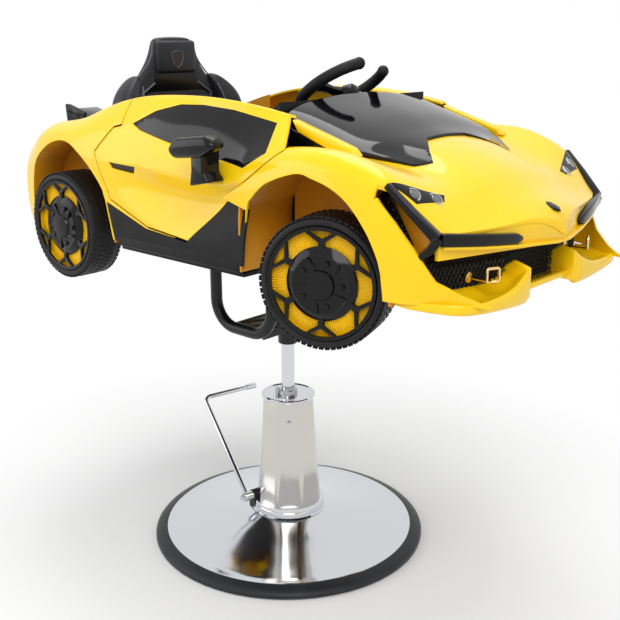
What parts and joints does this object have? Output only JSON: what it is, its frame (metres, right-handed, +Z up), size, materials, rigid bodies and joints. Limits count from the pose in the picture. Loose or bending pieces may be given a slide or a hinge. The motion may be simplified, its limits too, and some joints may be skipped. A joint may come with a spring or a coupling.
{
  "type": "kids car barber chair",
  "caption": "Child's salon chair: a sports car body with bucket seat, opening doors and turning wheels on a hydraulic pump with a round base.",
  "frame": {"origin": "centre of the base ring on the floor", "axes": "+X towards the car's nose, +Y to the car's left, +Z up"},
  "size_m": [1.185, 0.716, 1.0795],
  "materials": {
    "chrome": "polished",
    "base_rubber": "matte moulded edge",
    "dark_metal": "satin black paint",
    "yellow_body": "glossy painted plastic",
    "black_plastic": "fine grain",
    "gloss_black": "gloss",
    "dials": "gloss",
    "seat_black": "smooth black",
    "tyre": "matte",
    "lamp_clear": "clear lens",
    "lamp_red": "gloss",
    "ring_metal": "polished"
  },
  "bodies": {
    "base": {"base_disc": "chrome", "base_ring": "base_rubber", "base_collar": "chrome", "pump_cover": "chrome", "cover_cap": "chrome", "pump_cylinder": "dark_metal", "rod_gland": "chrome", "base_bolts": "chrome", "pedal_bracket": "dark_metal"},
    "pedal": {"foot_pedal": "chrome", "pedal_shaft": "dark_metal"},
    "plunger": {"pump_plunger": "dark_metal"},
    "lift": {"piston_rod": "chrome"},
    "car": {"swivel_hub": "dark_metal", "support_plate": "dark_metal", "support_tube_right": "dark_metal", "support_tube_left": "dark_metal", "frame_bolts": "dark_metal", "chassis_tub": "black_plastic", "axle_beam": "dark_metal", "rear_axle": "dark_metal", "front_body": "yellow_body", "rear_body": "yellow_body", "side_skirts": "black_plastic", "front_splitter": "yellow_body", "front_grilles": "black_plastic", "light_trims": "gloss_black", "headlamps": "lamp_clear", "tow_rings": "ring_metal", "windscreen": "gloss_black", "dashboard": "black_plastic", "gauge_dials": "dials", "seat": "seat_black", "rear_fins": "black_plastic", "rear_diffuser": "black_plastic", "tail_lights": "lamp_red", "door_hinge_pins": "dark_metal"},
    "door_right_side": {"door_right": "yellow_body", "window_right": "gloss_black", "mirror_right": "black_plastic"},
    "door_left_side": {"door_left": "yellow_body", "window_left": "gloss_black", "mirror_left": "black_plastic"},
    "steering": {"steering_wheel": "black_plastic", "steering_shaft": "dark_metal"},
    "steering_tie": {"tie_rod": "dark_metal"},
    "steer_right": {"knuckle_right": "dark_metal"},
    "steer_left": {"knuckle_left": "dark_metal"},
    "wheel_front_right": {"tyre_front_right": "tyre", "wheel_disc_front_right": "yellow_body", "wheel_cover_front_right": "black_plastic"},
    "wheel_front_left": {"tyre_front_left": "tyre", "wheel_disc_front_left": "yellow_body", "wheel_cover_front_left": "black_plastic"},
    "wheel_rear_right": {"tyre_rear_right": "tyre", "wheel_disc_rear_right": "yellow_body", "wheel_cover_rear_right": "black_plastic"},
    "wheel_rear_left": {"tyre_rear_left": "tyre", "wheel_disc_rear_left": "yellow_body", "wheel_cover_rear_left": "black_plastic"}
  },
  "joints": [
    {"name": "lift", "type": "slide", "parent": "base", "child": "lift", "axis": [0, 0, 1], "range_m": [-0.1, 0.045]},
    {"name": "swivel", "type": "hinge", "parent": "lift", "child": "car", "pos_m": [0, 0, 0.45], "axis": [0, 0, 1], "continuous": true},
    {"name": "pedal", "type": "hinge", "parent": "base", "child": "pedal", "pos_m": [-0.05155, -0.07901, 0.086], "axis": [0.2079, 0.9781, 0], "range_deg": [-20, 0], "stiffness_Nm_per_rad": 8, "springref_deg": 14.32},
    {"name": "plunger", "type": "slide", "parent": "base", "child": "plunger", "axis": [0, 0, 1], "range_m": [-0.0055, 0.0005]},
    {"name": "door_right", "type": "hinge", "parent": "car", "child": "door_right_side", "pos_m": [0.215, -0.283, 0.87], "axis": [0, 0, 1], "range_deg": [0, 45]},
    {"name": "door_left", "type": "hinge", "parent": "car", "child": "door_left_side", "pos_m": [0.215, 0.283, 0.87], "axis": [0, 0, 1], "range_deg": [-45, 0]},
    {"name": "steering", "type": "hinge", "parent": "car", "child": "steering", "pos_m": [0.147, 0, 0.986], "axis": [-0.5373, 0, 0.8434], "range_deg": [-34.5, 2]},
    {"name": "tie_slide", "type": "slide", "parent": "car", "child": "steering_tie", "axis": [0, 1, 0], "range_m": [-0.0016, 0.024]},
    {"name": "steer_right", "type": "hinge", "parent": "car", "child": "steer_right", "pos_m": [0.315, -0.195, 0.688], "axis": [0, 0, 1], "range_deg": [-39.5, 2.5]},
    {"name": "steer_left", "type": "hinge", "parent": "car", "child": "steer_left", "pos_m": [0.315, 0.195, 0.688], "axis": [0, 0, 1], "range_deg": [-39.5, 2.5]},
    {"name": "spin_front_right", "type": "hinge", "parent": "steer_right", "child": "wheel_front_right", "pos_m": [0.315, -0.195, 0.688], "axis": [-0.3338, 0.9426, 0], "continuous": true},
    {"name": "spin_front_left", "type": "hinge", "parent": "steer_left", "child": "wheel_front_left", "pos_m": [0.315, 0.195, 0.688], "axis": [-0.3338, 0.9426, 0], "continuous": true},
    {"name": "spin_rear_right", "type": "hinge", "parent": "car", "child": "wheel_rear_right", "pos_m": [-0.3855, -0.25, 0.688], "axis": [0, 1, 0], "continuous": true},
    {"name": "spin_rear_left", "type": "hinge", "parent": "car", "child": "wheel_rear_left", "pos_m": [-0.3855, 0.25, 0.688], "axis": [0, 1, 0], "continuous": true}
  ],
  "couplings": [
    {"joint": "plunger", "follows": "pedal", "m_per_rad": 0.014},
    {"joint": "steer_right", "follows": "steering", "ratio": 1.1304},
    {"joint": "steer_left", "follows": "steering", "ratio": 1.1304},
    {"joint": "tie_slide", "follows": "steering", "m_per_rad": -0.03768}
  ]
}
